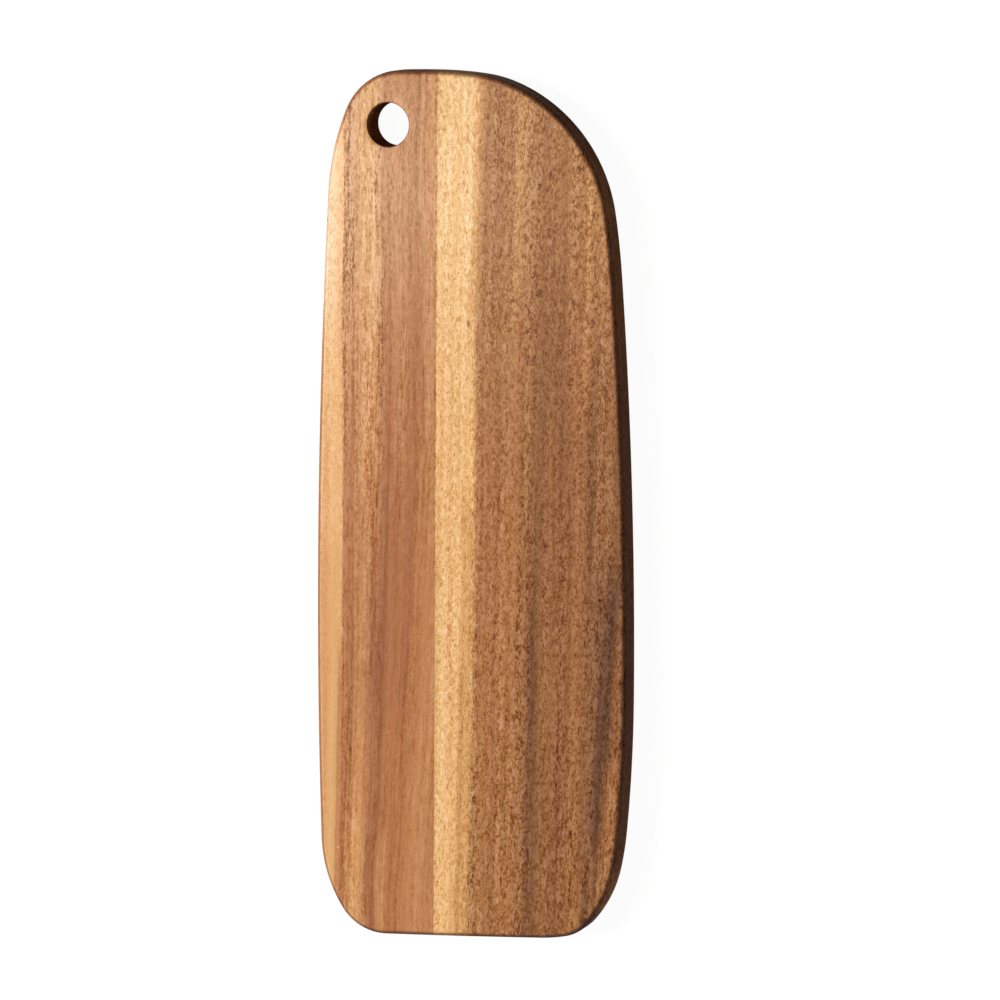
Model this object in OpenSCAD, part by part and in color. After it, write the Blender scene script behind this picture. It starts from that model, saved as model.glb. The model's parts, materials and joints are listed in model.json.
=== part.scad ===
// Serving board glued up from two acacia staves, with a hanging hole near one end.
// It lies flat: X runs across the board, Y along it towards the hanging end, Z up out of the serving face.

/* [Overall size] */
// length from the tail end to the hanging end
board_l = 400; // [330:1:480]
// width from the widest point of one side to that of the other
board_w = 150; // [125:1:180]
// thickness of both staves
board_t = 15; // [12:0.5:20]

/* [Staves] */
// width of the narrow stave, from the widest point of its side to the glue line
narrow_w = 58; // [52:1:70]
// thickness of the glue line between the staves
glue_t = 0.15; // [0.1:0.05:0.3]

/* [Edges] */
// radius that rounds both faces over into the side wall
edge_r = 2.5; // [1.5:0.25:3.5]

/* [Hanging hole] */
// radius of the hole
hole_r = 10; // [8:0.5:12]
// distance of the hole's centre from the widest point of the narrow stave's side
hole_from_side = 34.5; // [33:0.5:37]
// distance of the hole's centre from the hanging end
hole_from_end = 25; // [24:0.5:32]
// radius that softens the hole's rim on both faces
rim_r = 0.5; // [0.25:0.25:1]

/* [Where each side bulges most] */
// height of the wide stave's widest point, as a share of the length from the tail
wide_side_share = 0.29; // [0.25:0.01:0.35]
// height of the narrow stave's widest point, as a share of the length from the tail
narrow_side_share = 0.39; // [0.34:0.01:0.44]
// highest point of the hanging end, as a share of the width from the narrow side
hang_end_share = 0.37; // [0.36:0.005:0.4]
// lowest point of the tail end, as a share of the width from the narrow side
tail_end_share = 0.22; // [0.2:0.005:0.24]

/* [Corner radii] */
// the wide side where it starts to lean into the shoulder
lean_r = 350; // [280:1:420]
// the big shoulder beside the hanging end
shoulder_r = 75; // [62:1:90]
// the crown that turns the shoulder into the hanging end
crown_r = 57.5; // [48:0.5:69]
// the small corner around the hanging hole
hang_corner_r = 29.5; // [25:0.5:35]
// the narrow side just below the hanging hole
hang_flank_r = 111; // [93:1:133]
// the narrow side where it turns into the tail
tail_flank_r = 62.5; // [52:0.5:75]
// the tail's corner on the narrow stave
tail_corner_r = 24.5; // [21:0.5:29]
// the tail end where it leaves its straight run
tail_run_r = 78; // [65:1:94]
// the tail's corner on the wide stave
heel_r = 20.5; // [17:0.5:25]
// the wide side just above that corner
heel_flank_r = 57; // [48:1:68]
// the wide side where it straightens out
heel_side_r = 142; // [118:1:170]

/* [Hidden] */
// Directions in degrees that the outline faces where one arc gives way to the next, in each quarter.
shoulder_turns = [0, 4.5, 9, 70, 83, 90];
hang_turns = [90, 92, 157, 177, 180];
tail_turns = [180, 182, 214, 270];
heel_turns = [270, 272.5, 273.5, 282, 320, 348, 355, 360];
// Radii in the same order. A 0 stands for one of the two that follow from the overall size.
shoulder_radii = [0, lean_r, shoulder_r, crown_r, 0];
hang_radii = [0, hang_corner_r, hang_flank_r, 0];
tail_radii = [0, tail_flank_r, 0];
heel_radii = [tail_corner_r, 0, tail_run_r, heel_r, heel_flank_r, heel_side_r, 0];

// The four points where the outline reaches furthest.
wide_tip = [board_w / 2, (wide_side_share - 1 / 2) * board_l];
hang_tip = [(hang_end_share - 1 / 2) * board_w, board_l / 2];
narrow_tip = [-board_w / 2, (narrow_side_share - 1 / 2) * board_l];
tail_tip = [(tail_end_share - 1 / 2) * board_w, -board_l / 2];

// Width of the ring that carries the rounded edges, where inside it the plain middle ends,
// and how far the middle's straight edges may cut inside their arc.
ring_w = 3 * edge_r;
middle_inset = 2 * edge_r;
middle_sag = edge_r / 4;
// The staves meet here.
joint_x = narrow_w - board_w / 2;
// Cutting boxes reach past the board by this much.
spare = board_t;

$fn = 200;

function total(list, i = 0) = i == len(list) ? 0 : list[i] + total(list, i + 1);
function heading(a) = [cos(a), sin(a)];

// How far an arc of radius 1 runs across and along the board between two turns.
function across(turns, i) = abs(cos(turns[i + 1]) - cos(turns[i]));
function along(turns, i) = abs(sin(turns[i + 1]) - sin(turns[i]));

// Fills in a quarter's two open radii so that its arcs run exactly from one furthest point to the next.
function closed(turns, radii, run) =
    let (
        open = [for (i = [0 : len(radii) - 1]) if (radii[i] == 0) i],
        left_x = run[0] - total([for (i = [0 : len(radii) - 1]) radii[i] * across(turns, i)]),
        left_y = run[1] - total([for (i = [0 : len(radii) - 1]) radii[i] * along(turns, i)]),
        ax = across(turns, open[0]),
        bx = across(turns, open[1]),
        ay = along(turns, open[0]),
        by = along(turns, open[1]),
        det = ax * by - bx * ay,
        first = (left_x * by - bx * left_y) / det,
        second = (ax * left_y - left_x * ay) / det
    )
    [for (i = [0 : len(radii) - 1]) i == open[0] ? first : i == open[1] ? second : radii[i]];

// A quarter's arcs, each as [centre, radius, first direction, last direction].
function arcs(turns, radii, start, i = 0) =
    i == len(radii) ? [] :
    concat(
        [[start - radii[i] * heading(turns[i]), radii[i], turns[i], turns[i + 1]]],
        arcs(turns, radii, start + radii[i] * (heading(turns[i + 1]) - heading(turns[i])), i + 1)
    );

function quarter(turns, radii, from, to) =
    arcs(turns, closed(turns, radii, [abs(to[0] - from[0]), abs(to[1] - from[1])]), from);

outline = concat(
    quarter(shoulder_turns, shoulder_radii, wide_tip, hang_tip),
    quarter(hang_turns, hang_radii, hang_tip, narrow_tip),
    quarter(tail_turns, tail_radii, narrow_tip, tail_tip),
    quarter(heel_turns, heel_radii, tail_tip, wide_tip)
);

// Points a little inside the outline, for the plain middle of the board.
function inset_points(arc) =
    let (steps = ceil((arc[3] - arc[2]) / (2 * acos(1 - middle_sag / arc[1]))))
    [for (k = [0 : steps - 1]) arc[0] + (arc[1] - middle_inset) * heading(arc[2] + (arc[3] - arc[2]) * k / steps)];
middle_points = [for (arc = outline) each inset_points(arc)];

// Moves in whole steps, then in thousandths, then by the rest, so that long arcs still meet exactly.
module move_by(x, y) {
    whole = [floor(x), floor(y)];
    part = [floor((x - whole[0]) * 1000) / 1000, floor((y - whole[1]) * 1000) / 1000];
    translate(whole)
        translate(part)
            translate([x - whole[0] - part[0], y - whole[1] - part[1]])
                children();
}

// Section of the ring: square inside, rounded over outside at both faces.
module ring_section() {
    translate([-ring_w, 0])
        square([ring_w - edge_r, board_t]);
    translate([-ring_w, edge_r])
        square([ring_w, board_t - 2 * edge_r]);
    for (z = [edge_r, board_t - edge_r])
        translate([-edge_r, z])
            circle(r = edge_r);
}

module ring_arc(arc) {
    move_by(arc[0][0], arc[0][1])
        rotate_extrude(angle = arc[3] - arc[2], start = arc[2])
            move_by(arc[1], 0)
                ring_section();
}

// The board's outer shape before the joint and the hole.
module blank() {
    for (arc = outline)
        ring_arc(arc);
    linear_extrude(height = board_t)
        polygon(middle_points);
}

// Everything that the hanging hole takes away, with its rims softened.
module hole_cutter() {
    translate([hole_from_side - board_w / 2, board_l / 2 - hole_from_end, 0])
        rotate_extrude()
            difference() {
                union() {
                    translate([0, -spare])
                        square([hole_r, board_t + 2 * spare]);
                    translate([0, -spare])
                        square([hole_r + rim_r, spare + rim_r]);
                    translate([0, board_t - rim_r])
                        square([hole_r + rim_r, spare + rim_r]);
                }
                for (z = [rim_r, board_t - rim_r])
                    translate([hole_r + rim_r, z])
                        circle(r = rim_r);
            }
}

// A box over the whole length and thickness between two positions across the board.
module slice(from_x, to_x) {
    translate([from_x, -board_l / 2 - spare, -spare])
        cube([to_x - from_x, board_l + 2 * spare, board_t + 2 * spare]);
}

module narrow_stave() {
    color("#b57b52")
        difference() {
            intersection() {
                blank();
                slice(-board_w / 2 - spare, joint_x - glue_t / 2);
            }
            hole_cutter();
        }
}

module wide_stave() {
    color("#a8754c")
        intersection() {
            blank();
            slice(joint_x + glue_t / 2, board_w / 2 + spare);
        }
}

module glue_line() {
    color("#5b3a24")
        intersection() {
            blank();
            slice(joint_x - glue_t / 2, joint_x + glue_t / 2);
        }
}

narrow_stave();
wide_stave();
glue_line();
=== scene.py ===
"""Oiled acacia serving board with a hanging hole: its looks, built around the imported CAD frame."""
import json
import math

import bmesh
import bpy
import numpy as np
from mathutils import Matrix, Vector


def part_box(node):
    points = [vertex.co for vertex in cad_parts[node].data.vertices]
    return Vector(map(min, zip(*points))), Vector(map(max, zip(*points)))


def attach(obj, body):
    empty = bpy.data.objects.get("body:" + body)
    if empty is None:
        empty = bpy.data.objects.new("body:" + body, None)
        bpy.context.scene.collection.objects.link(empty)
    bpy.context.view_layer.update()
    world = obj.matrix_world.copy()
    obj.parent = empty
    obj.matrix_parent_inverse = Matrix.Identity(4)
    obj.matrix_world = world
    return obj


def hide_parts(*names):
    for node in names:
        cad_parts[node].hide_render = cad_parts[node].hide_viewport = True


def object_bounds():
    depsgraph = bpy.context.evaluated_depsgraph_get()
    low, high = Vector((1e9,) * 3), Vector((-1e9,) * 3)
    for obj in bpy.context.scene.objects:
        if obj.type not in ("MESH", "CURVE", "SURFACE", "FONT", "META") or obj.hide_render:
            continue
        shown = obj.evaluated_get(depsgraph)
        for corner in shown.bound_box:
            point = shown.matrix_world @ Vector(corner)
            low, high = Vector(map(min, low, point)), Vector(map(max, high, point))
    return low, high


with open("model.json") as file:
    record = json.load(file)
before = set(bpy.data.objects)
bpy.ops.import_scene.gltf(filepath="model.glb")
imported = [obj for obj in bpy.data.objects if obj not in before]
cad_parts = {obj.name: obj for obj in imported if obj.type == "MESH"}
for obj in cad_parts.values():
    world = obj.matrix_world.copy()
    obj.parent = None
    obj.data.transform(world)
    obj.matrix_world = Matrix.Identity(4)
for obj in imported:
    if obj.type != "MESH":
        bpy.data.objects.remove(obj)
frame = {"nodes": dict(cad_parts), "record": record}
cad_low, cad_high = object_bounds()


# Narrow stave
# The left third of the board: one slat of reddish acacia, planed, edge-glued to its neighbour and then
# sawn to the common outline. Its edges are rounded over with a router, the hanging hole is drilled, and
# oil gives it a satin gloss.

MM = 0.001
board_l = (cad_high.y - cad_low.y) / MM
board_w = (cad_high.x - cad_low.x) / MM
board_t = (cad_high.z - cad_low.z) / MM
edge_r = 2.5
hole_rim = 0.5

# The furthest points of the outline, as shares of the board's width and length.
wide_side_share, narrow_side_share = 0.29, 0.39
hang_end_share, tail_end_share = 0.37, 0.22
wide_tip = np.array([board_w / 2, (wide_side_share - 0.5) * board_l])
hang_tip = np.array([(hang_end_share - 0.5) * board_w, board_l / 2])
narrow_tip = np.array([-board_w / 2, (narrow_side_share - 0.5) * board_l])
tail_tip = np.array([(tail_end_share - 0.5) * board_w, -board_l / 2])

# Each quarter of the outline runs through tangent arcs: where it starts and ends, the directions in
# degrees that it faces where arcs meet, and their radii. A 0 stands for one of the two that follow from
# the size.
quarters = (
    (wide_tip, hang_tip, (0, 4.5, 9, 70, 83, 90), (0, 350, 75, 57.5, 0)),
    (hang_tip, narrow_tip, (90, 92, 157, 177, 180), (0, 29.5, 111, 0)),
    (narrow_tip, tail_tip, (180, 182, 214, 270), (0, 62.5, 0)),
    (tail_tip, wide_tip, (270, 272.5, 273.5, 282, 320, 348, 355, 360), (24.5, 0, 78, 20.5, 57, 142, 0)),
)


def arcs_of(quarters):
    """Start angles, radii and centres of all arcs. The two open radii of a quarter make the steps of its
    arcs, each radius times the change of heading, add up to the way from its first point to its last."""
    starts, radii, centres = [], [], []
    for first, last, turns, sizes in quarters:
        turn = np.radians(turns)
        heading = np.stack([np.cos(turn), np.sin(turn)], 1)
        step = np.diff(heading, axis=0)
        size = np.array(sizes, float)
        size[size == 0] = np.linalg.solve(step[size == 0].T, last - first - size @ step)
        begin = first + np.vstack([np.zeros(2), np.cumsum(size[:, None] * step, axis=0)[:-1]])
        starts.append(turn[:-1])
        radii.append(size)
        centres.append(begin - size[:, None] * heading[:-1])
    return np.concatenate(starts), np.concatenate(radii), np.concatenate(centres)


arc_start, arc_radius, arc_centre = arcs_of(quarters)
# Steps of the fine walks along the outline that even spacing and the joint's ends are read from, and the
# headings in degrees between which the joint meets the outline at the hanging end.
fine_steps = 20000
end_headings = (23, 157)


def outline(angle, inset):
    """The outline's point that faces each angle, moved in by inset: the arc's centre plus its radius,
    less the inset, times the heading. Angles are in radians and may run past a full turn."""
    angle = np.asarray(angle, float)
    arc = np.searchsorted(arc_start, angle % (2 * np.pi), side="right") - 1
    heading = np.stack([np.cos(angle), np.sin(angle)], -1)
    return arc_centre[arc] + (arc_radius[arc] - inset)[..., None] * heading


def even_angles(first, last, count, inset):
    """Angles between two headings, spaced so that the outline's points lie at even distances: the way
    walked along the outline is split evenly and read back as angles."""
    fine = np.linspace(first, last, fine_steps + 1)
    points = outline(fine, inset)
    walked = np.concatenate([[0], np.cumsum(np.linalg.norm(np.diff(points, axis=0), axis=1))])
    return np.interp(np.linspace(0, walked[-1], count + 1), walked, fine)


def facing_at(x, hanging_end, inset):
    """The heading at which the outline crosses a line along the board at x, at the hanging or the tail
    end: a fine walk round that end, read back at x."""
    fine = np.radians(np.linspace(*end_headings, fine_steps + 1)) + (0 if hanging_end else np.pi)
    across = outline(fine, inset)[:, 0]
    order = np.argsort(across)
    return np.interp(x, across[order], fine[order])


def loops_of(joint_x, corner_headings, end_count, side_count, insets):
    """One closed loop of points for each inset: along the outline from the joint at one end to the joint
    at the other, through the headings of two corners in degrees, and back straight along the joint."""
    loops = []
    first, second = np.radians(corner_headings)
    to_the_left = first > np.pi / 2
    for inset in insets:
        hang = facing_at(joint_x, True, inset)
        tail = facing_at(joint_x, False, inset)
        begin, end = (hang, tail) if to_the_left else (tail - 2 * np.pi, hang)
        angles = np.concatenate([
            even_angles(begin, first, end_count, inset)[:-1],
            even_angles(first, second, side_count, inset)[:-1],
            even_angles(second, end, end_count, inset),
        ])
        points = outline(angles, inset)
        points[[0, -1], 0] = joint_x
        back = np.linspace(points[-1], points[0], side_count + 1)[1:-1]
        loops.append(np.concatenate([points, back]))
    return np.stack(loops)


def patch_between(loop, end_count, side_count):
    """A grid over the flat area inside a loop: opposite sides are blended across and along, and the
    blend of the four corners, which both of them hold, is taken away once."""
    c, d = end_count, side_count
    first_end, side = loop[: c + 1], loop[c : c + d + 1]
    second_end = loop[c + d : 2 * c + d + 1][::-1]
    joint = np.concatenate([loop[2 * c + d :], loop[:1]])[::-1]
    u = np.linspace(0, 1, c + 1)[:, None, None]
    v = np.linspace(0, 1, d + 1)[None, :, None]
    ends = (1 - v) * first_end[:, None] + v * second_end[:, None]
    sides = (1 - u) * joint[None] + u * side[None]
    corners = ((1 - u) * (1 - v) * joint[0] + u * (1 - v) * side[0]
               + (1 - u) * v * joint[-1] + u * v * side[-1])
    return ends + sides - corners


def with_height(points, z):
    """Flat points with a third coordinate, one height for them all."""
    return np.concatenate([points, np.broadcast_to(z, points.shape[:-1] + (1,))], -1)


def grid_faces(rows, columns, closed):
    """Corner numbers of the quads of a grid of points, whose rows are closed rings or open lines."""
    at = np.arange(rows * columns).reshape(rows, columns)
    after = np.roll(at, -1, axis=1) if closed else at[:, 1:]
    here = at if closed else at[:, :-1]
    return np.stack([here[:-1], after[:-1], after[1:], here[1:]], -1).reshape(-1, 4)


def quarter_round(radius, steps):
    """How far a quarter circle has still to go outwards, and how far it has come down, at even angles
    from the flat to the wall: its radius less radius times sine, and less radius times cosine."""
    angle = np.linspace(0, np.pi / 2, steps + 1)
    return radius * (1 - np.sin(angle)), radius * (1 - np.cos(angle))


# The edge from the serving face round to the underside: how far each line lies inside the outline, and
# how high. The rounding and the flat of the wall are divided into this many steps.
round_steps, wall_steps = 8, 4
round_in, round_down = quarter_round(edge_r, round_steps)
wall_z = np.linspace(board_t - edge_r, edge_r, wall_steps + 1)[1:-1]
profile_in = np.concatenate([round_in, np.zeros(wall_steps - 1), round_in[::-1]])
profile_z = np.concatenate([board_t - round_down, wall_z, round_down[::-1]])

# Points closer than this are one point, and edges that turn by more degrees than this stay sharp.
merge_reach, sharp_from = 0.0001, 40


def mesh_of(name, parts):
    """A mesh from grids of points in millimetres, each with its UV places, whether its rows close on
    themselves, and which quads it skips. Shared points are merged and all faces are turned outwards."""
    points = np.concatenate([grid.reshape(-1, 3) for grid, uv, closed, skip in parts]) * MM
    faces, places, base = [], [], 0
    for grid, uv, closed, skip in parts:
        quads = grid_faces(grid.shape[0], grid.shape[1], closed)
        keep = np.ones(len(quads), bool) if skip is None else ~skip.reshape(-1)
        faces.append(quads[keep] + base)
        places.append(uv[keep])
        base += grid.shape[0] * grid.shape[1]
    mesh = bpy.data.meshes.new(name)
    mesh.from_pydata(points, [], np.concatenate(faces).tolist())
    places = np.concatenate(places).astype(np.float32)
    mesh.uv_layers.new(name="OFBake").uv.foreach_set("vector", places.ravel())
    work = bmesh.new()
    work.from_mesh(mesh)
    bmesh.ops.remove_doubles(work, verts=work.verts, dist=merge_reach * MM)
    bmesh.ops.recalc_face_normals(work, faces=work.faces)
    work.to_mesh(mesh)
    work.free()
    mesh.shade_smooth()
    mesh.set_sharp_from_angle(angle=math.radians(sharp_from))
    return mesh


def strip_uv(rows, columns, closed, low, high):
    """UV corners for each quad of a grid laid evenly over a rectangle of the map: its rows one after
    another across the map, and its columns up it."""
    count = columns if closed else columns - 1
    u, v = np.meshgrid(np.arange(rows - 1), np.arange(count), indexing="ij")
    corner = np.array([[0, 0], [0, 1], [1, 1], [1, 0]])
    share = (np.stack([u, v], -1)[:, :, None] + corner) / np.array([rows - 1, count])
    return (np.array(low) + share * (np.array(high) - np.array(low))).reshape(-1, 4, 2)


def flat_uv(grid, low, high):
    """UV corners for each quad of a flat grid, from its own places across and along the board."""
    flat = grid[..., :2]
    share = (flat - flat.min((0, 1))) / np.ptp(flat, axis=(0, 1))
    at = np.array(low) + share * (np.array(high) - np.array(low))
    return at.reshape(-1, 2)[grid_faces(grid.shape[0], grid.shape[1], False)]


# Where a stave's surfaces lie on its UV map, as lowest and highest corners.
face_on_map = (0.005, 0.005), (0.395, 0.995)
underside_on_map = (0.405, 0.005), (0.795, 0.995)
edge_on_map = (0.805, 0.005), (0.915, 0.995)
hole_on_map = (0.93, 0.02), (0.99, 0.3)
# Width of the flat collar round the hole, and how finely it, the hole's rims and its wall are divided.
collar_w, collar_steps, rim_steps, bore_steps = 2.5, 3, 4, 3


def stave_parts(joint_x, corner_headings, end_count, side_count, hole=None):
    """Serving face, underside and edge band of one stave as grids for mesh_of: a patch inside the
    innermost loop at both heights, and the loops stacked down the rounded edge. A hole takes a block
    of quads out of both patches. Rings run from that block in to the hole's rim, through it and out
    again, each ring a share of the way from the rim's circle to the block."""
    loops = loops_of(joint_x, corner_headings, end_count, side_count, profile_in)
    patch = patch_between(loops[0], end_count, side_count)
    top, bottom = with_height(patch, board_t), with_height(patch, 0.0)
    band = np.stack([with_height(loop, z) for loop, z in zip(loops, profile_z)])
    skip = None
    extra = []
    if hole:
        centre, radius, rim = hole
        flat = patch - centre
        reach = radius + rim + collar_w
        inside = np.abs(flat).max(-1) < reach
        a0, a1 = np.flatnonzero(inside.any(1))[[0, -1]]
        b0, b1 = np.flatnonzero(inside.any(0))[[0, -1]]
        skip = np.zeros((end_count, side_count), bool)
        skip[a0:a1, b0:b1] = True
        block = np.concatenate([
            patch[a0:a1, b0], patch[a1, b0:b1], patch[a1:a0:-1, b1], patch[a0, b1:b0:-1],
        ])
        around = block - centre
        spoke = around / np.linalg.norm(around, axis=1)[:, None]
        fillet_in, fillet_down = quarter_round(rim, rim_steps)
        collar = [centre + spoke * (radius + rim) + (1 - s) * (around - spoke * (radius + rim))
                  for s in np.linspace(0, 1, collar_steps + 1)[:-1]]
        wall = [centre + spoke * (radius + r) for r in fillet_in]
        flat_rings = [with_height(ring, board_t) for ring in collar]
        rim_rings = [with_height(ring, board_t - d) for ring, d in zip(wall, fillet_down)]
        bore = [with_height(centre + spoke * radius, z)
                for z in np.linspace(board_t - rim, rim, bore_steps + 1)[1:-1]]
        lower = [ring * [1, 1, -1] + [0, 0, board_t] for ring in (flat_rings + rim_rings)[::-1]]
        rings = np.stack(flat_rings + rim_rings + bore + lower)
        extra = [(rings, strip_uv(len(rings), len(block), True, *hole_on_map), True, None)]
    path = len(loops[0])
    return [
        (top, flat_uv(top, *face_on_map), False, skip),
        (bottom, flat_uv(bottom, *underside_on_map), False, skip),
        (band, strip_uv(len(band), path, True, *edge_on_map), True, None),
    ] + extra


hanging_hole = next(m for m in frame["record"]["mounts"] if m["name"] == "hanging_hole")
hole_centre = np.array(hanging_hole["pos_m"][:2]) / MM
hole_r = hanging_hole["dims"]["r_mm"]
narrow_joint_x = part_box("narrow_stave")[1].x / MM
# The headings of its corners, and its grid: quads of about a millimetre each way.
narrow_corners, narrow_cells = (135, 225), (58, 400)
hole = (hole_centre, hole_r, hole_rim)
narrow_parts = stave_parts(narrow_joint_x, narrow_corners, *narrow_cells, hole)
narrow_stave = bpy.data.objects.new("narrow_stave_wood", mesh_of("narrow_stave_wood", narrow_parts))
bpy.context.collection.objects.link(narrow_stave)
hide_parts("narrow_stave")
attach(narrow_stave, "root")


def linear(colour):
    """An sRGB hex colour as linear red, green, blue and an alpha of 1."""
    parts = [int(colour[i : i + 2], 16) / 255 for i in (1, 3, 5)]
    return (*[p / 12.92 if p <= 0.04045 else ((p + 0.055) / 1.055) ** 2.4 for p in parts], 1.0)


def add(tree, kind, links=None, out=0, **settings):
    """Adds one node with its settings, and links or sets its inputs. Returns the chosen output."""
    node = tree.nodes.new("ShaderNode" + kind)
    for name, value in settings.items():
        setattr(node, name, value)
    for socket, value in (links or {}).items():
        if isinstance(value, bpy.types.NodeSocket):
            tree.links.new(value, node.inputs[socket])
        else:
            node.inputs[socket].default_value = value
    return node.outputs[out]


def set_stops(ramp_output, stops):
    """Gives a colour ramp its stops: places from 0 to 1 with a colour each."""
    ramp = ramp_output.node.color_ramp
    while len(ramp.elements) < len(stops):
        ramp.elements.new(1.0)
    for element, (place, colour) in zip(ramp.elements, sorted(stops)):
        element.position = place
        element.color = colour


# Oiled acacia. The cured oil bends light by oil_ior. The planed and sanded faces are satin, sawn and
# routed wood stays matt, and hands have polished the corner beside the hole. An open pore is rougher
# than the wood around it by pore_rough, and the fine figure stands out by relief_h millimetres.
oil_ior = 1.46
planed_rough, sawn_rough, polished_rough, pore_rough = 0.27, 0.85, 0.45, 0.12
relief_h = 0.015
# White, as a tint, changes nothing.
white = (1.0, 1.0, 1.0, 1.0)
# The edge's tint where it turns from the face, at 0, into the wall, at 1: partly oil soaked into the
# sawn wood, partly painted shade that darkens the rounding and the wall.
oil_and_painted_shade_tints = (
    (0.0, white), (0.03, (0.76, 0.71, 0.68, 1.0)), (0.06, (0.60, 0.52, 0.47, 1.0)),
    (0.16, (0.47, 0.38, 0.33, 1.0)), (0.32, (0.42, 0.33, 0.27, 1.0)), (0.52, (0.46, 0.34, 0.25, 1.0)),
    (0.80, (0.43, 0.35, 0.29, 1.0)), (1.0, (0.52, 0.42, 0.36, 1.0)),
)


def acacia(name, pith, layers, colours, lean, figure, patches, marks, paler):
    """Oiled acacia: growth layers round a pith line beside the stave, leaning along the board, broken up
    by streaks, dashes, squiggles, grit and short open pores. A tone from 0 to 255 picks the wood's
    colour, dark heartwood to pale sapwood. Places and lengths are in millimetres of the board.

    pith: where the stem's centre lies, across the board and above its underside.
    layers: where growth layers meet the serving face at the hanging end, each with its tone.
    colours: the tones, each with its colour.
    lean: where the layers start to lean and how far that runs, its curve, and how far they end up moved
    at from_x and at to_x.
    figure: swing of the interlocked grain, fray of the layers at from_x and to_x, slant of the fine
    figure, length of its mottle, and strengths or shares of the rest. calm is where the figure's
    strength changes across the board, from where to where and from what to what. straight is the share
    of streaks and dashes at the hanging end and at the tail.
    patches: place, drift, half width, where it starts, where it is full, change of tone, and greyness.
    marks: centre, half sizes, and colour factors.
    paler: the factor on the tone at the hanging end: painted light, which draws that end paler as if it
    were lit more brightly."""
    material = bpy.data.materials.new(name)
    material.use_nodes = True
    tree = material.node_tree
    tree.nodes.clear()
    coordinates = add(tree, "TexCoord", out="Object")
    millimetres = add(tree, "VectorMath", {0: coordinates, "Scale": 1 / MM}, operation="SCALE")
    x = add(tree, "SeparateXYZ", {0: millimetres})
    y, z = x.node.outputs["Y"], x.node.outputs["Z"]

    # Where each grain line lies across the board at the hanging end: the lean of the layers, a slow
    # wander of the stem, the side to side weave of interlocked grain, and a frayed edge between layers.
    # Wander and weave have their width, length and swing.
    side = add(tree, "MapRange", {"Value": x, "From Min": lean["from_x"], "From Max": lean["to_x"]},
               interpolation_type="SMOOTHSTEP")
    lean_end = lean["start"] - lean["run"]
    along = add(tree, "MapRange", {"Value": y, "From Min": lean["start"], "From Max": lean_end})
    curve = add(tree, "Math", {0: along, 1: lean["power"]}, operation="POWER")
    most = add(tree, "Mix", {"Factor": side, "A": lean["amounts"][0], "B": lean["amounts"][1]},
               data_type="FLOAT")
    moved = add(tree, "Math", {0: curve, 1: most, 2: x}, operation="MULTIPLY_ADD")
    for width, length, swing in ((20, 55, 3.0), (7, 13, figure["interlock"])):
        grid = add(tree, "VectorMath", {0: millimetres, 1: (1 / width, 1 / length, 1 / width)},
                   operation="MULTIPLY")
        wave = add(tree, "TexNoise", {"Vector": grid, "Scale": 1.0, "Detail": 1.0})
        sway = add(tree, "Math", {0: wave, 1: swing, 2: -swing / 2}, operation="MULTIPLY_ADD")
        moved = add(tree, "Math", {0: moved, 1: sway}, operation="ADD")
    fray_w, fray_l = 1.2, 5
    grid = add(tree, "VectorMath", {0: millimetres, 1: (1 / fray_w, 1 / fray_l, 1 / fray_w)},
               operation="MULTIPLY")
    ragged = add(tree, "TexNoise", {"Vector": grid, "Scale": 1.0, "Detail": 2.0, "Roughness": 0.7})
    ragged = add(tree, "Math", {0: ragged, 1: 0.5}, operation="SUBTRACT")
    fray = add(tree, "Mix", {"Factor": side, "A": figure["fray"][0], "B": figure["fray"][1]},
               data_type="FLOAT")
    across = add(tree, "Math", {0: ragged, 1: fray, 2: moved}, operation="MULTIPLY_ADD")

    # The growth layer there, by its distance from the pith, gives the tone.
    section = add(tree, "CombineXYZ", {"X": across, "Z": z})
    radius = add(tree, "VectorMath", {0: section, 1: (pith[0], 0.0, pith[1])}, operation="DISTANCE",
                 out="Value")
    radii = [math.hypot(place - pith[0], board_t - pith[1]) for place, tone in layers]
    outer, inner = max(radii), min(radii)
    age = add(tree, "MapRange", {"Value": radius, "From Min": outer, "From Max": inner})
    layer = add(tree, "ValToRGB", {"Fac": age})
    set_stops(layer, [((outer - r) / (outer - inner), (tone / 255, tone / 255, tone / 255, 1.0))
                      for r, (place, tone) in zip(radii, layers)])
    # Painted light: the wood is drawn paler towards the hanging end, as if lit more brightly there.
    painted_light_toward_hole = add(tree, "MapRange", {"Value": y, "From Min": 20.0, "From Max": 150.0, "To Min": 1.0,
                                         "To Max": paler}, interpolation_type="SMOOTHSTEP")
    tone = add(tree, "Math", {0: layer, 1: painted_light_toward_hole}, operation="MULTIPLY")

    # Layers that turn paler, darker or greyer part of the way along. Their sides fade over patch_soft
    # either way.
    patch_soft = 0.7
    greyer = 0.0
    for place, drift, half, from_y, to_y, change, grey in patches:
        middle = add(tree, "Math", {0: y, 1: drift, 2: place}, operation="MULTIPLY_ADD")
        off = add(tree, "Math", {0: across, 1: middle}, operation="SUBTRACT")
        off = add(tree, "Math", {0: off}, operation="ABSOLUTE")
        inside = add(tree, "MapRange", {"Value": off, "From Min": half + patch_soft,
                                        "From Max": half - patch_soft}, interpolation_type="SMOOTHSTEP")
        reached = add(tree, "MapRange", {"Value": y, "From Min": from_y, "From Max": to_y},
                      interpolation_type="SMOOTHSTEP")
        mask = add(tree, "Math", {0: inside, 1: reached}, operation="MULTIPLY")
        factor = add(tree, "Math", {0: mask, 1: change, 2: 1.0}, operation="MULTIPLY_ADD")
        tone = add(tree, "Math", {0: tone, 1: factor}, operation="MULTIPLY")
        greyer = add(tree, "Math", {0: mask, 1: grey, 2: greyer}, operation="MULTIPLY_ADD")

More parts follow.
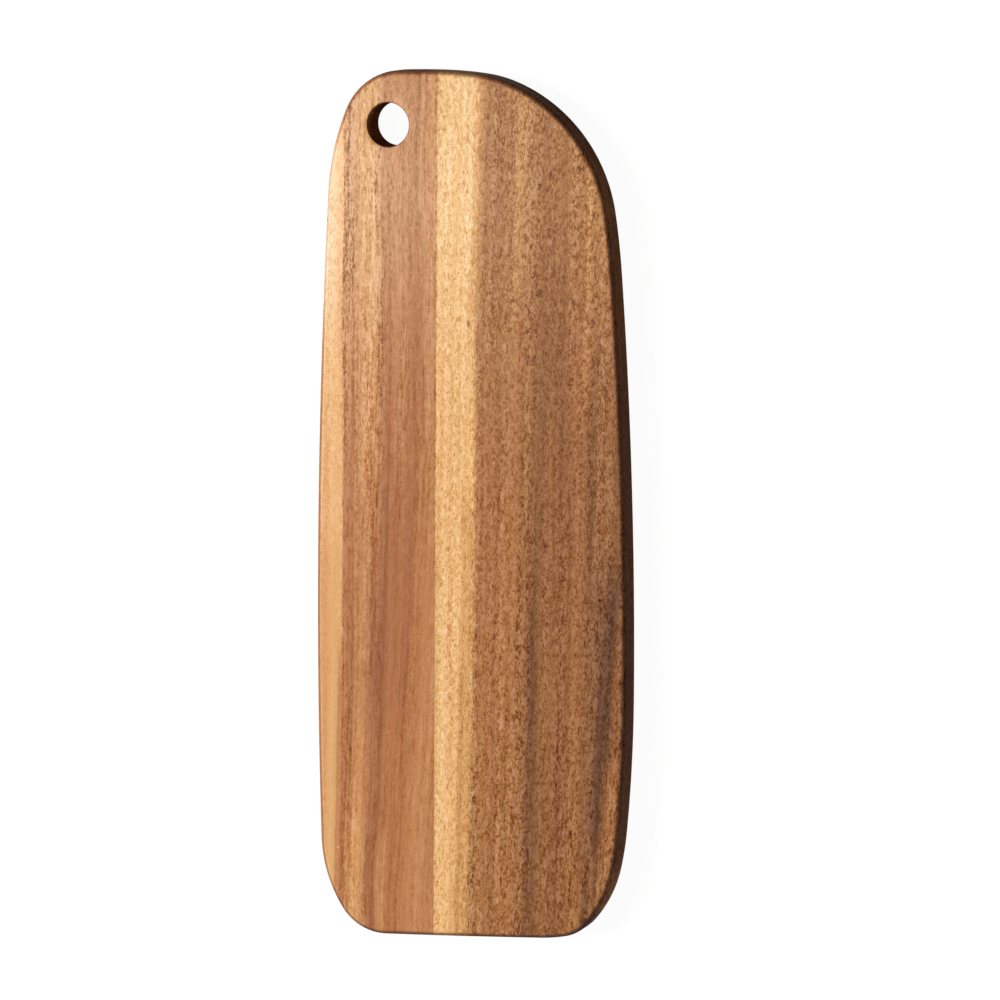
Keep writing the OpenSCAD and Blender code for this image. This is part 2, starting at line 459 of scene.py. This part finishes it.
    # Stripes a few millimetres wide, paler and darker, calm and lively, redder and browner, each with
    # its width, length, lowest and highest value.
    fibre = add(tree, "CombineXYZ", {"X": moved, "Y": y, "Z": z})
    stripes = []
    for width, length, low, high in (
        (2.6, 240, -1.0, 1.0), (3.4, 170, 0.65, 1.35), (4.0, 120, 0.0, 1.0),
    ):
        grid = add(tree, "VectorMath", {0: fibre, 1: (1 / width, 1 / length, 1 / width)},
                   operation="MULTIPLY")
        noise = add(tree, "TexNoise", {"Vector": grid, "Scale": 1.0, "Detail": 1.0})
        stripes.append(add(tree, "MapRange", {"Value": noise, "From Min": 0.34, "From Max": 0.66,
                                              "To Min": low, "To Max": high}))
    paler_stripe, lively_stripe, redder_stripe = stripes
    striped = add(tree, "Math", {0: paler_stripe, 1: figure["striped"], 2: 1.0},
                  operation="MULTIPLY_ADD")
    tone = add(tree, "Math", {0: tone, 1: striped}, operation="MULTIPLY")
    wood = add(tree, "ValToRGB", {"Fac": tone})
    set_stops(wood, [(place / 255, linear(colour)) for place, colour in colours])

    # Fine figure: streaks, dashes, mottle and grit, which follow the slanted grain. Each has its width
    # and length, detail, roughness, distortion, strength and share. Layers whose tone passes a half turn
    # from heartwood to sapwood, which has hardly any streaks or dashes. Real grit is finer than a pixel
    # of the render, so it is drawn coarser.
    slanted = add(tree, "Math", {0: y, 1: -figure["slant"], 2: moved}, operation="MULTIPLY_ADD")
    fibre = add(tree, "CombineXYZ", {"X": slanted, "Y": y, "Z": z})
    straight = add(tree, "MapRange", {"Value": y, "From Min": 60.0, "From Max": -120.0,
                                      "To Min": figure["straight"][0], "To Max": figure["straight"][1]})
    heartwood = add(tree, "MapRange", {"Value": layer, "From Min": 0.50, "From Max": 0.66, "To Min": 1.0,
                                       "To Max": 0.25})
    straight = add(tree, "Math", {0: straight, 1: heartwood}, operation="MULTIPLY")
    texture = 0.0
    for width, length, detail, rough, bent, strength, share in (
        (1.3, 60, 2.0, 0.65, 0.1, figure["streaky"], straight),
        (1.5, 9, 2.0, 0.7, 0.3, figure["dashed"], straight),
        (1.7, figure["mottle_length"], 2.0, 0.75, 1.0, figure["mottled"], 1.0),
        (0.7, 1.3, 1.0, 0.5, 0.2, figure["gritty"], 1.0),
    ):
        grid = add(tree, "VectorMath", {0: fibre, 1: (1 / width, 1 / length, 1 / width)},
                   operation="MULTIPLY")
        noise = add(tree, "TexNoise", {"Vector": grid, "Scale": 1.0, "Detail": detail,
                                       "Roughness": rough, "Distortion": bent})
        kind = add(tree, "Math", {0: noise, 1: strength, 2: -strength / 2}, operation="MULTIPLY_ADD")
        texture = add(tree, "Math", {0: kind, 1: share, 2: texture}, operation="MULTIPLY_ADD")

    # Short dark squiggles where interlocked fibres dive under, and open pores. A real pore is a tenth to
    # a fifth of a millimetre wide, finer than a pixel of the render, so pores are drawn coarser.
    squiggle_w, squiggle_l = 2.2, 3.6
    pore_w, pore_l = 0.8, 3.0
    grid = add(tree, "VectorMath", {0: fibre, 1: (1 / squiggle_w, 1 / squiggle_l, 1 / squiggle_w)},
               operation="MULTIPLY")
    noise = add(tree, "TexNoise", {"Vector": grid, "Scale": 1.0, "Detail": 1.0, "Distortion": 1.8})
    ridge = add(tree, "Math", {0: noise, 1: 0.5}, operation="SUBTRACT")
    ridge = add(tree, "Math", {0: ridge}, operation="ABSOLUTE")
    squiggle = add(tree, "MapRange", {"Value": ridge, "From Min": 0.09, "From Max": 0.03})
    grid = add(tree, "VectorMath", {0: fibre, 1: (1 / pore_w, 1 / pore_l, 1 / pore_w)},
               operation="MULTIPLY")
    speck = add(tree, "TexNoise", {"Vector": grid, "Scale": 1.0, "Detail": 0.0})
    pore = add(tree, "MapRange", {"Value": speck, "From Min": 0.56, "From Max": 0.72})
    stroke = add(tree, "MapRange", {"Value": speck, "From Min": 0.40, "From Max": 0.55})
    squiggle = add(tree, "Math", {0: squiggle, 1: stroke}, operation="MULTIPLY")
    texture = add(tree, "Math", {0: pore, 1: -figure["porous"], 2: texture}, operation="MULTIPLY_ADD")

    # The figure is weaker in sapwood, and changes with the calm zone, towards the tail and by stripes.
    lively = add(tree, "MapRange", {"Value": layer, "From Min": 0.50, "From Max": 0.68, "To Min": 1.0,
                                    "To Max": figure["sap"]})
    calm_from, calm_to, wild, calm = figure["calm"]
    zone = add(tree, "MapRange", {"Value": x, "From Min": calm_from, "From Max": calm_to, "To Min": wild,
                                  "To Max": calm})
    rougher = add(tree, "MapRange", {"Value": y, "From Min": -40.0, "From Max": 60.0,
                                     "To Min": figure["tail"], "To Max": 1.0})
    for factor in (lively, zone, rougher, lively_stripe):
        texture = add(tree, "Math", {0: texture, 1: factor}, operation="MULTIPLY")
    texture = add(tree, "Math", {0: squiggle, 1: -figure["squiggly"], 2: texture},
                  operation="MULTIPLY_ADD")

    # Dark flecks go deeper than pale ones rise, and the figure changes blue most and red least: a colour
    # factor of e to the power of the figure.
    deeper = add(tree, "Math", {0: texture, 1: -1.5, 2: 1.0}, operation="MULTIPLY_ADD")
    texture = add(tree, "Math", {0: texture, 1: deeper}, operation="MULTIPLY")
    spread = add(tree, "CombineXYZ", {"X": texture, "Y": texture, "Z": texture})
    depth = add(tree, "VectorMath", {0: spread, 1: (1.35, 2.25, 4.3)}, operation="MULTIPLY")
    depth = add(tree, "VectorMath", {0: (math.e, math.e, math.e), 1: depth}, operation="POWER")
    colour = add(tree, "VectorMath", {0: wood, 1: depth}, operation="MULTIPLY")
    tint = add(tree, "Mix", {"Factor": redder_stripe, 6: (0.965, 1.02, 1.005, 1.0),
                             7: (1.01, 1.0, 1.02, 1.0)}, out=2, data_type="RGBA")
    colour = add(tree, "VectorMath", {0: colour, 1: tint}, operation="MULTIPLY")
    tint = add(tree, "Mix", {"Factor": greyer, 6: white, 7: (0.95, 0.99, 1.10, 1.0)},
               out=2, data_type="RGBA")
    colour = add(tree, "VectorMath", {0: colour, 1: tint}, operation="MULTIPLY")

    # Dark chips within 0.8 mm of the glue line, where the grain broke and glue ran in. They are drawn
    # coarser than real ones, and the tail has fewer.
    chip_w, chip_l, chip_h = 1.2, 2.6, 4
    near = add(tree, "Math", {0: x, 1: narrow_joint_x}, operation="SUBTRACT")
    near = add(tree, "Math", {0: near}, operation="ABSOLUTE")
    near = add(tree, "MapRange", {"Value": near, "From Min": 0.8, "From Max": 0.3})
    grid = add(tree, "VectorMath", {0: millimetres, 1: (1 / chip_w, 1 / chip_l, 1 / chip_h)},
               operation="MULTIPLY")
    chips = add(tree, "TexNoise", {"Vector": grid, "Scale": 1.0, "Detail": 1.0})
    chips = add(tree, "MapRange", {"Value": chips, "From Min": 0.5, "From Max": 0.65})
    fewer = add(tree, "MapRange", {"Value": y, "From Min": -60.0, "From Max": 20.0, "To Min": 0.2,
                                   "To Max": 1.0})
    for factor in (near, fewer):
        chips = add(tree, "Math", {0: chips, 1: factor}, operation="MULTIPLY")
    tint = add(tree, "Mix", {"Factor": chips, 6: white, 7: (0.5, 0.38, 0.22, 1.0)},
               out=2, data_type="RGBA")
    colour = add(tree, "VectorMath", {0: colour, 1: tint}, operation="MULTIPLY")

    # Small marks from wear and growth, each an ellipse with a soft edge that reaches mark_h down.
    mark_h = 3
    for centre, half, effect in marks:
        off = add(tree, "VectorMath", {0: millimetres, 1: (*centre, board_t)}, operation="SUBTRACT")
        off = add(tree, "VectorMath", {0: off, 1: (1 / half[0], 1 / half[1], 1 / mark_h)},
                  operation="MULTIPLY")
        off = add(tree, "VectorMath", {0: off}, operation="LENGTH", out="Value")
        inside = add(tree, "MapRange", {"Value": off, "From Min": 1.3, "From Max": 0.6})
        tint = add(tree, "Mix", {"Factor": inside, 6: white, 7: (*effect, 1.0)},
                   out=2, data_type="RGBA")
        colour = add(tree, "VectorMath", {0: colour, 1: tint}, operation="MULTIPLY")

    # Sawn and routed walls drink more oil than the planed faces, end grain most of all, and turn darker.
    # The darkening as the edge turns from the face is partly that oil and partly painted shade on the
    # rounding and the walls.
    # The wall's lower part is drawn paler again: painted light, as if bounced up from the floor.
    normal = add(tree, "SeparateXYZ", {0: add(tree, "TexCoord", out="Normal")})
    to_end = add(tree, "Math", {0: normal.node.outputs["Y"], 1: 2.0}, operation="POWER")
    to_face = add(tree, "Math", {0: normal.node.outputs["Z"]}, operation="ABSOLUTE")
    soaked = add(tree, "MapRange", {"Value": to_end, "From Min": 0.1, "From Max": 1.0, "To Min": 1.0,
                                    "To Max": 0.35})
    colour = add(tree, "VectorMath", {0: colour, "Scale": soaked}, operation="SCALE")
    # Painted shade: the rounding and the walls are drawn darker the further they turn away from the
    # serving face.
    turned = add(tree, "MapRange", {"Value": to_face, "From Min": 0.995, "From Max": 0.2})
    oil_and_painted_shade_tint = add(tree, "ValToRGB", {"Fac": turned})
    set_stops(oil_and_painted_shade_tint, oil_and_painted_shade_tints)
    # Painted light: the lower part of the rounding and wall is drawn paler, as if lit from the floor
    # below.
    painted_bounce_light = add(tree, "MapRange", {"Value": z, "From Min": 9.0, "From Max": 4.0})
    painted_bounce_light = add(tree, "Math", {0: painted_bounce_light, 1: turned}, operation="MULTIPLY")
    tint = add(tree, "Mix", {"Factor": painted_bounce_light, 6: white, 7: (1.35, 1.5, 1.65, 1.0)},
               out=2, data_type="RGBA")
    colour = add(tree, "VectorMath", {0: colour, 1: tint}, operation="MULTIPLY")

    # Painted glare: the corner beside the hole is drawn pale, with less of the edge's darkening, up to
    # its rim though not the flat wall below it. Hands that hang the board up keep that corner smooth.
    upper = add(tree, "MapRange", {"Value": y, "From Min": 65.0, "From Max": 110.0},
                interpolation_type="SMOOTHSTEP")
    polish_and_painted_glare = add(tree, "MapRange", {"Value": x, "From Min": -61.0, "From Max": -70.0},
                  interpolation_type="SMOOTHSTEP")
    above = add(tree, "MapRange", {"Value": to_face, "From Min": 0.05, "From Max": 0.40})
    for factor in (upper, above):
        polish_and_painted_glare = add(tree, "Math", {0: polish_and_painted_glare, 1: factor}, operation="MULTIPLY")
    # Painted glare: half of the edge's painted shade is taken off on that corner.
    painted_glare_rim = add(tree, "Math", {0: polish_and_painted_glare, 1: 0.5}, operation="MULTIPLY")
    oil_and_painted_shade_tint = add(tree, "Mix", {"Factor": painted_glare_rim, 6: oil_and_painted_shade_tint, 7: white}, out=2, data_type="RGBA")
    colour = add(tree, "VectorMath", {0: colour, 1: oil_and_painted_shade_tint}, operation="MULTIPLY")
    # Painted glare: the corner is drawn paler and less saturated, as if washed out by the light.
    tint = add(tree, "Mix", {"Factor": polish_and_painted_glare, 6: white, 7: (0.94, 1.04, 1.30, 1.0)},
               out=2, data_type="RGBA")
    colour = add(tree, "VectorMath", {0: colour, 1: tint}, operation="MULTIPLY")

    # The planed face is satin, and the edge turns matt as soon as it leaves the face.
    matt = add(tree, "MapRange", {"Value": polish_and_painted_glare, "To Min": sawn_rough, "To Max": polished_rough})
    worn = add(tree, "MapRange", {"Value": to_face, "From Min": 0.9995, "From Max": 0.965,
                                  "To Min": planed_rough, "To Max": matt})
    roughness = add(tree, "Math", {0: pore, 1: pore_rough, 2: worn}, operation="MULTIPLY_ADD")
    relief = add(tree, "Bump", {"Height": texture, "Strength": 1.0, "Distance": relief_h * MM})
    surface = add(tree, "BsdfPrincipled", {"Base Color": colour, "Roughness": roughness, "IOR": oil_ior,
                                           "Normal": relief})
    tree.links.new(surface, tree.nodes.new("ShaderNodeOutputMaterial").inputs["Surface"])
    return material


# Acacia with a reddish heart, planed and oiled: a pale strip of sapwood at the outer side, then bands of
# heartwood. Its grain is straight, so the satin finish shows calm streaks and hardly any shimmer.
narrow_layers = (
    (-76, 150), (-70, 161), (-67, 172), (-64.5, 170), (-62.4, 162), (-61.6, 127), (-60, 128),
    (-58, 125), (-56, 125), (-54, 136), (-52, 140), (-50, 138), (-48, 134), (-46, 125),
    (-44, 115), (-42, 106), (-40, 108), (-38, 113), (-36, 116), (-32, 115), (-30, 110),
    (-28, 110), (-24, 116), (-22, 121), (-20, 126), (-17, 130), (-12, 124), (-8, 134),
)
reddish_colours = (
    (60, "#6b3318"), (85, "#8a4b2c"), (101, "#a0623c"), (110, "#ab6c42"), (120, "#b47649"),
    (135, "#c28657"), (150, "#d09661"), (167, "#dfa872"), (185, "#eeba85"), (215, "#fad8ab"),
    (245, "#fff2dc"),
)
narrow_patches = (
    (-46.5, 0.0, 3, -20, 20, 0.07, 0.0), (-43.5, 0.0, 3.5, -10, -80, -0.06, 0.3),
    (-38, 0.0, 3, -145, -165, 0.15, 0.0), (-59, 0.0, 2.5, 85, 15, -0.13, 0.0),
    (-47.5, 0.0, 2.5, -20, -50, -0.08, 0.5), (-53, 0.0, 6, -120, -160, 0.10, 0.0),
    (-25, 0.0, 6, -80, -120, 0.05, 0.0), (-42, 0.0, 15, 25, 0, -0.065, 0.2),
    (-42, 0.0, 15, -80, -110, 0.06, -0.2), (-63.0, 0.0, 1.3, -50, -90, -0.20, 0.2),
    (-68, 0.0, 5, 0, -30, -0.05, 0.0), (-57, 0.0, 2.5, -130, -160, 0.08, 0.0),
    (-24, 0.0, 4, 35, 60, -0.07, 0.0), (-24, 0.0, 4, 100, 120, 0.07, 0.0),
)
narrow_marks = (
    ((-63.9, -160.4), (1.1, 0.45), (1.35, 1.5, 1.8)),
    ((-57.0, -38.0), (2.2, 0.35), (1.15, 1.2, 1.3)),
)
reddish = acacia(
    "reddish_acacia_oiled", (110, -60), narrow_layers, reddish_colours,
    lean=dict(start=40, run=220, power=2.0, amounts=(2.0, 9.0), from_x=-66, to_x=-24),
    figure=dict(interlock=0.8, fray=(0.5, 3.0), slant=0.01, mottle_length=4.2, striped=0.02,
                streaky=0.6, dashed=0.6, mottled=0.4, gritty=0.45, squiggly=0.02, porous=0.06,
                sap=0.33, tail=0.55, calm=(-46, -40, 1.8, 1.05), straight=(1.0, 1.0)),
    patches=narrow_patches, marks=narrow_marks, paler=1.07,
)
narrow_stave.data.materials.append(reddish)


# Wide stave
# The right two thirds of the board: one slat of brown acacia with a pale sapwood edge along the joint.
# Its interlocked grain gives a lively mottle. It is planed, glued, sawn, routed and oiled with its
# neighbour.

wide_joint_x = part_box("wide_stave")[0].x / MM
wide_corners, wide_cells = (-45, 45), (92, 400)
wide_parts = stave_parts(wide_joint_x, wide_corners, *wide_cells)
wide_stave = bpy.data.objects.new("wide_stave_wood", mesh_of("wide_stave_wood", wide_parts))
bpy.context.collection.objects.link(wide_stave)
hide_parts("wide_stave")
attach(wide_stave, "root")

# Brown acacia with interlocked grain, planed and oiled: fibres that dive in and out of the face give a
# curly mottle, and the satin oil finish deepens it. It has no calmer zone.
wide_layers = (
    (-17, 152), (-15, 168), (-13, 180), (-10, 184), (-4, 184), (-2, 184), (0, 180), (2, 166),
    (4, 150), (6, 135), (8, 117), (10, 118), (12, 112), (14, 112), (17, 115), (19.5, 118),
    (22, 120), (25, 115), (28, 113), (30, 111), (32, 103), (34, 96), (36, 95), (39, 100),
    (42, 102), (45, 97), (50, 101), (56, 108), (60, 99), (64, 96), (70, 93), (80, 96),
)
brown_colours = (
    (55, "#562b17"), (80, "#774c30"), (92, "#8c5a36"), (104, "#9d663e"), (115, "#aa7144"),
    (125, "#b47b4e"), (140, "#c28a58"), (158, "#d59f66"), (178, "#e8b379"), (195, "#eec18b"),
    (215, "#f5d6a8"),
)
wide_patches = (
    (44, 0.0, 22, 80, 150, 0.10, 0.0), (61, 0.0, 5, 30, 90, 0.10, 0.0),
    (69, 0.0, 4.5, -40, 0, 0.18, 0.0), (67, 0.0, 6.0, 110, 70, 0.0, 1.0),
    (75.2, 0.0575, 3.2, 0, -50, -0.18, 0.6), (72, 0.0, 4.0, -100, -130, 0.24, 0.0),
    (3.5, 0.0, 2.5, 100, 75, 0.10, 0.0), (1.5, 0.0, 3.0, 20, -5, -0.11, 0.0),
    (-1, 0.0, 4.0, -50, -90, -0.09, 0.0), (-9.5, 0.0, 2.5, -60, -120, 0.06, 0.0),
    (34.7, 0.0, 2.0, 0, -80, -0.11, 0.3), (56, 0.0, 8.5, 30, 80, 0.08, 0.0),
    (66, 0.0, 3.2, -140, -162, 0.22, -0.6),
)
wide_marks = (
    ((-1.35, 85.7), (0.75, 1.8), (0.38, 0.29, 0.18)),
    ((48.9, 105.5), (2.0, 0.6), (1.2, 1.25, 1.4)),
)
brown = acacia(
    "brown_acacia_oiled", (150, -70), wide_layers, brown_colours,
    lean=dict(start=180, run=360, power=0.62, amounts=(5.0, 6.0), from_x=-5, to_x=15),
    figure=dict(interlock=1.4, fray=(3.0, 3.0), slant=0.04, mottle_length=3.3, striped=0.065,
                streaky=0.4, dashed=0.6, mottled=1.25, gritty=0.7, squiggly=0.15, porous=0.10,
                sap=0.37, tail=1.0, calm=(0, 1, 1.0, 1.0), straight=(0.4, 1.1)),
    patches=wide_patches, marks=wide_marks, paler=1.05,
)
wide_stave.data.materials.append(brown)


# Glue line
# The film of wood glue that joins the staves along their whole length. Clamps squeezed it to a seventh
# of a millimetre while it cured. It keeps its CAD mesh.

# Cured wood glue, sanded flush and oiled: a thin brownish line, a little glossy, darker where the film
# is thicker, which changes every few millimetres along the board.
glue_w, glue_l = 2.0, 6.25
glue_rough, glue_ior = 0.45, 1.48
glue = bpy.data.materials.new("cured_wood_glue_oiled")
glue.use_nodes = True
tree = glue.node_tree
tree.nodes.clear()
coordinates = add(tree, "TexCoord", out="Object")
cells = (1 / (glue_w * MM), 1 / (glue_l * MM), 1 / (glue_w * MM))
grid = add(tree, "VectorMath", {0: coordinates, 1: cells}, operation="MULTIPLY")
uneven = add(tree, "TexNoise", {"Vector": grid, "Scale": 1.0, "Detail": 2.0})
film = add(tree, "Mix", {"Factor": uneven, 6: linear("#4a2c18"), 7: linear("#a87a4c")}, out=2,
           data_type="RGBA")
surface = add(tree, "BsdfPrincipled", {"Base Color": film, "Roughness": glue_rough, "IOR": glue_ior})
tree.links.new(surface, tree.nodes.new("ShaderNodeOutputMaterial").inputs["Surface"])
glue_line = frame["nodes"]["glue_line"]
for slot in glue_line.material_slots:
    slot.material = glue


# Camera
# It looks down on the board from beyond its right side, as a photographer stands over a table. A long
# lens from 2.2 metres away keeps the board's sides nearly parallel. Places are in metres.

scene = bpy.context.scene
scene.view_settings.view_transform = "Standard"
camera_place = Vector((0.7180, 0.2961, 2.0718))
camera_aim = Vector((0.01434, 0.0060, 0.015))
camera_roll = math.radians(0.35)
camera_lens = 173.74
camera = bpy.data.objects.new("camera", bpy.data.cameras.new("camera"))
camera.data.lens = camera_lens
back = (camera_place - camera_aim).normalized()
right = Vector((0, 1, 0)).cross(back).normalized()
turn = Matrix((right, back.cross(right), back)).transposed() @ Matrix.Rotation(camera_roll, 3, "Z")
camera.matrix_world = Matrix.Translation(camera_place) @ turn.to_4x4()
scene.collection.objects.link(camera)
scene.camera = camera


# Lights
# A large softbox from the left gives the even light, a small warm one near the board gives its satin
# glow, a low one beyond the tail's right corner lifts the wall there, and a dim world fills in the rest.
# The camera sees that world white. Places and sizes are in metres, powers in watts.

world_strength = 0.07
world = bpy.data.worlds.new("studio")
scene.world = world
world.use_nodes = True
tree = world.node_tree
tree.nodes.clear()
seen = add(tree, "LightPath", out="Is Camera Ray")
shade = add(tree, "Mix", {"Factor": seen, "A": world_strength, "B": 1.0}, data_type="FLOAT")
light = add(tree, "Background", {"Color": white, "Strength": shade})
tree.links.new(light, tree.nodes.new("ShaderNodeOutputWorld").inputs["Surface"])


def softbox(name, place, size, power, colour):
    """A square lamp that faces the middle of the board and isn't seen itself."""
    lamp = bpy.data.objects.new(name, bpy.data.lights.new(name, "AREA"))
    lamp.data.shape = "SQUARE"
    lamp.data.size = size
    lamp.data.energy = power
    lamp.data.color = linear(colour)[:3]
    lamp.location = place
    lamp.rotation_mode = "QUATERNION"
    lamp.rotation_quaternion = (-lamp.location).to_track_quat("-Z", "Y")
    lamp.visible_camera = False
    scene.collection.objects.link(lamp)


softbox("key_softbox", (-3.2, 0.12, 2.41), 1.8, 238.0, "#ffffff")
softbox("low_fill", (0.75, -0.9, 0.22), 0.4, 3.0, "#ffffff")
softbox("window_glow", (-0.31, 0.11, 0.60), 0.12, 0.70, "#fff7d8")


# Floor
# A sheet of white paper, pale enough to blend into the white background, with only a trace of shadow.

floor_size = 6.0
paper_glow = 0.955
corner = floor_size / 2
floor_mesh = bpy.data.meshes.new("floor")
floor_corners = [(-corner, -corner, 0), (corner, -corner, 0), (corner, corner, 0), (-corner, corner, 0)]
floor_mesh.from_pydata(floor_corners, [], [(0, 1, 2, 3)])
floor = bpy.data.objects.new("floor", floor_mesh)
scene.collection.objects.link(floor)

# Matt white paper. The camera sees a faint sheet lifted by a glow to nearly white, which keeps the
# shadow faint. Mirrors and glass see the paper pale, and bounced light meets it greyer, so that it
# lights the walls and the hole less.
paper = bpy.data.materials.new("white_paper")
paper.use_nodes = True
tree = paper.node_tree
tree.nodes.clear()
seen = add(tree, "LightPath", out="Is Camera Ray")
mirrored = add(tree, "Math", {0: seen.node.outputs["Is Glossy Ray"],
                              1: seen.node.outputs["Is Transmission Ray"]}, operation="MAXIMUM")
matte = add(tree, "BsdfDiffuse", {"Color": linear("#909090")})
pale = add(tree, "BsdfDiffuse", {"Color": linear("#f3f3f3")})
faint = add(tree, "BsdfDiffuse", {"Color": linear("#505050")})
glow = add(tree, "Emission", {"Color": white, "Strength": paper_glow})
lifted = add(tree, "AddShader", {0: faint, 1: glow})
lit = add(tree, "MixShader", {0: mirrored, 1: matte, 2: pale})
mixed = add(tree, "MixShader", {0: seen, 1: lit, 2: lifted})
tree.links.new(mixed, tree.nodes.new("ShaderNodeOutputMaterial").inputs["Surface"])
floor.data.materials.append(paper)
